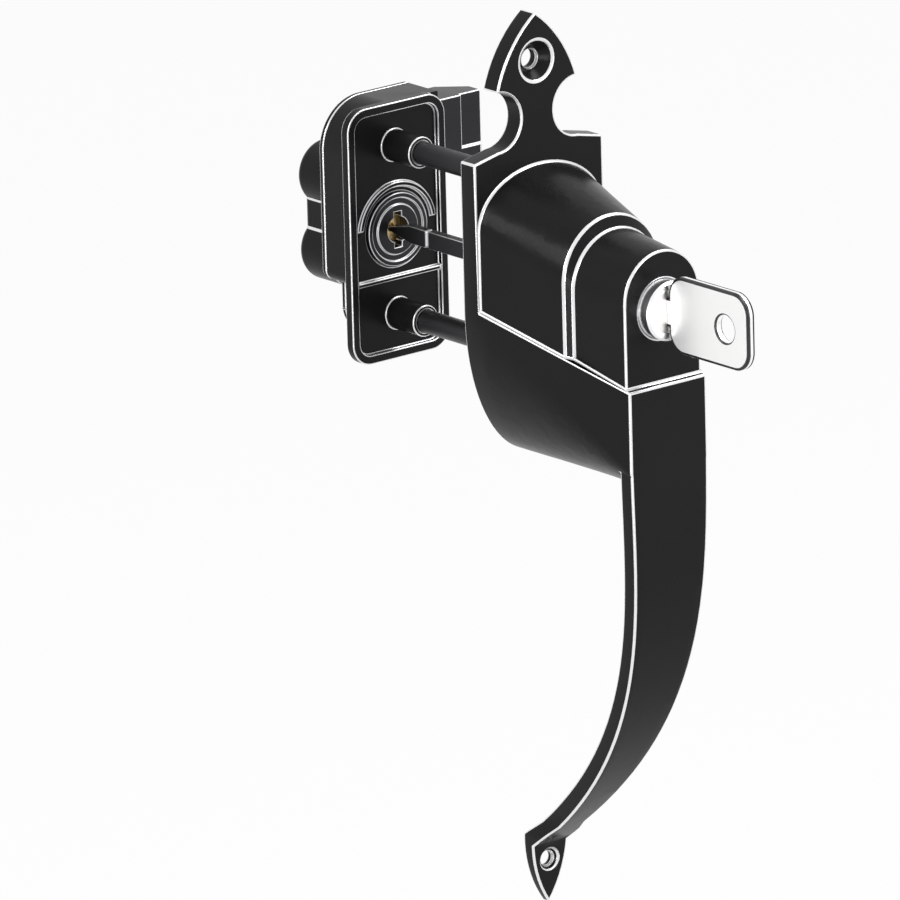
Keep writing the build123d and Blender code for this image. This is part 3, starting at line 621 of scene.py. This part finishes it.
# Screws: cold-headed pan heads with a cross recess and rolled threads, blackened.
# Two long ones pull latch and handle together, two close the case, two hold the lock plate, and a
# small set screw without a modelled thread holds the knob.
thread_tree = bpy.data.node_groups.new("rolled_thread", "GeometryNodeTree")
for label, kind, direction in (
    ("Tips", "NodeSocketGeometry", "INPUT"),
    ("Root Radius", "NodeSocketFloat", "INPUT"),
    ("Crest Height", "NodeSocketFloat", "INPUT"),
    ("Pitch", "NodeSocketFloat", "INPUT"),
    ("Length", "NodeSocketFloat", "INPUT"),
    ("Finish", "NodeSocketMaterial", "INPUT"),
    ("Threads", "NodeSocketGeometry", "OUTPUT"),
):
    thread_tree.interface.new_socket(label, in_out=direction, socket_type=kind)
start = thread_tree.nodes.new("NodeGroupInput")
end = thread_tree.nodes.new("NodeGroupOutput")
rows_per_turn = 8
points_round = 25
run_out_per_turn = 0.8
end_row = 0.0001
thread_merge = 0.000004


def maths(operation, first, second=None):
    """One math node of the thread's tree, fed by sockets or numbers."""
    node = thread_tree.nodes.new("ShaderNodeMath")
    node.operation = operation
    for socket, value in zip(node.inputs, (first, second)):
        if isinstance(value, bpy.types.NodeSocket):
            thread_tree.links.new(value, socket)
        elif value is not None:
            socket.default_value = value
    return node.outputs[0]


length = start.outputs["Length"]
turns = maths("DIVIDE", length, start.outputs["Pitch"])
grid = thread_tree.nodes.new("GeometryNodeMeshGrid")
grid.inputs["Size X"].default_value = 1.0
grid.inputs["Size Y"].default_value = 1.0
grid.inputs["Vertices Y"].default_value = points_round
thread_tree.links.new(maths("MULTIPLY", turns, rows_per_turn), grid.inputs["Vertices X"])
place = thread_tree.nodes.new("GeometryNodeInputPosition")
parts = thread_tree.nodes.new("ShaderNodeSeparateXYZ")
thread_tree.links.new(place.outputs[0], parts.inputs[0])
along = maths("ADD", parts.outputs["X"], 0.5)
around = maths("ADD", parts.outputs["Y"], 0.5)
angle = maths("MULTIPLY", around, 2 * math.pi)
wave = maths("PINGPONG", maths("SUBTRACT", maths("MULTIPLY", along, turns), around), 0.5)
to_end = maths("MINIMUM", along, maths("SUBTRACT", 1.0, along))
run_out = maths("MINIMUM", maths("MULTIPLY", maths("MULTIPLY", to_end, turns), run_out_per_turn), 1.0)
ridge = maths("MULTIPLY", maths("MULTIPLY", wave, 2.0), run_out)
radius = maths("ADD", start.outputs["Root Radius"], maths("MULTIPLY", ridge, start.outputs["Crest Height"]))
closed = maths("MULTIPLY", radius, maths("GREATER_THAN", to_end, end_row))
spot = thread_tree.nodes.new("ShaderNodeCombineXYZ")
thread_tree.links.new(maths("MULTIPLY", closed, maths("COSINE", angle)), spot.inputs["X"])
thread_tree.links.new(maths("MULTIPLY", along, length), spot.inputs["Y"])
thread_tree.links.new(maths("MULTIPLY", closed, maths("SINE", angle)), spot.inputs["Z"])
shift = thread_tree.nodes.new("GeometryNodeSetPosition")
thread_tree.links.new(grid.outputs["Mesh"], shift.inputs["Geometry"])
thread_tree.links.new(spot.outputs[0], shift.inputs["Position"])
join = thread_tree.nodes.new("GeometryNodeMergeByDistance")
join.inputs["Distance"].default_value = thread_merge
thread_tree.links.new(shift.outputs[0], join.inputs["Geometry"])
copies = thread_tree.nodes.new("GeometryNodeInstanceOnPoints")
thread_tree.links.new(start.outputs["Tips"], copies.inputs["Points"])
thread_tree.links.new(join.outputs[0], copies.inputs["Instance"])
real = thread_tree.nodes.new("GeometryNodeRealizeInstances")
thread_tree.links.new(copies.outputs[0], real.inputs[0])
paint = thread_tree.nodes.new("GeometryNodeSetMaterial")
thread_tree.links.new(real.outputs[0], paint.inputs["Geometry"])
thread_tree.links.new(start.outputs["Finish"], paint.inputs["Material"])
thread_tree.links.new(paint.outputs[0], end.inputs["Threads"])


def threaded(node, name, shank, crest, pitch, head_seat, stub):
    """A copy of a packed group of screws whose plain shanks become rolled threads.

    A stub of each shank stays under its head, and the thread starts inside it.
    """
    work = merged(node)
    reach = 3 * shank
    low = min(vert.co.y for vert in work.verts)
    ends = [vert for vert in work.verts if vert.co.y < low + crest]
    tips = []
    for vert in ends:
        if all((tip - vert.co).length >= reach for tip in tips):
            tips.append(vert.co.copy())
    for index, tip in enumerate(tips):
        group = [vert.co for vert in ends if (vert.co - tip).length < reach]
        tips[index] = sum(group, Vector()) / len(group)
    for vert in ends:
        vert.co.y = head_seat - stub
    points = bpy.data.meshes.new(name + "_tips")
    points.from_pydata(tips, [], [])
    threads = bpy.data.objects.new(name + "_threads", points)
    scene.collection.objects.link(threads)
    rolled = threads.modifiers.new("rolled", "NODES")
    rolled.node_group = thread_tree
    sizes = {
        "Root Radius": shank - crest, "Crest Height": crest, "Pitch": pitch,
        "Length": head_seat - stub / 2 - low, "Finish": black_zinc,
    }
    for socket in thread_tree.interface.items_tree:
        if socket.name in sizes:
            rolled[socket.identifier] = sizes[socket.name]
    shown = bpy.context.evaluated_depsgraph_get()
    rolled_mesh = bpy.data.meshes.new_from_object(threads.evaluated_get(shown))
    work.from_mesh(rolled_mesh)
    bpy.data.objects.remove(threads)
    bmesh.ops.recalc_face_normals(work, faces=work.faces)
    mesh = bpy.data.meshes.new(name)
    work.to_mesh(mesh)
    work.free()
    mesh.materials.append(black_zinc)
    piece = bpy.data.objects.new(name, mesh)
    scene.collection.objects.link(piece)
    stand_in(piece, node)


case_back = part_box("case_cover")[1][1]
lock_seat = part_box("lock_plate")[1][1]
threaded(
    "mounting_screws", "long_screws",
    shank=0.002, crest=0.0003, pitch=0.0007, head_seat=case_back, stub=0.016,
)
threaded(
    "cover_screws", "case_screws",
    shank=0.0009, crest=0.00015, pitch=0.0004, head_seat=case_back, stub=0.0002,
)
threaded(
    "lock_plate_screws", "plate_screws",
    shank=0.0011, crest=0.00018, pitch=0.00045, head_seat=lock_seat, stub=0.0002,
)
dress("knob_set_screw", black_zinc)
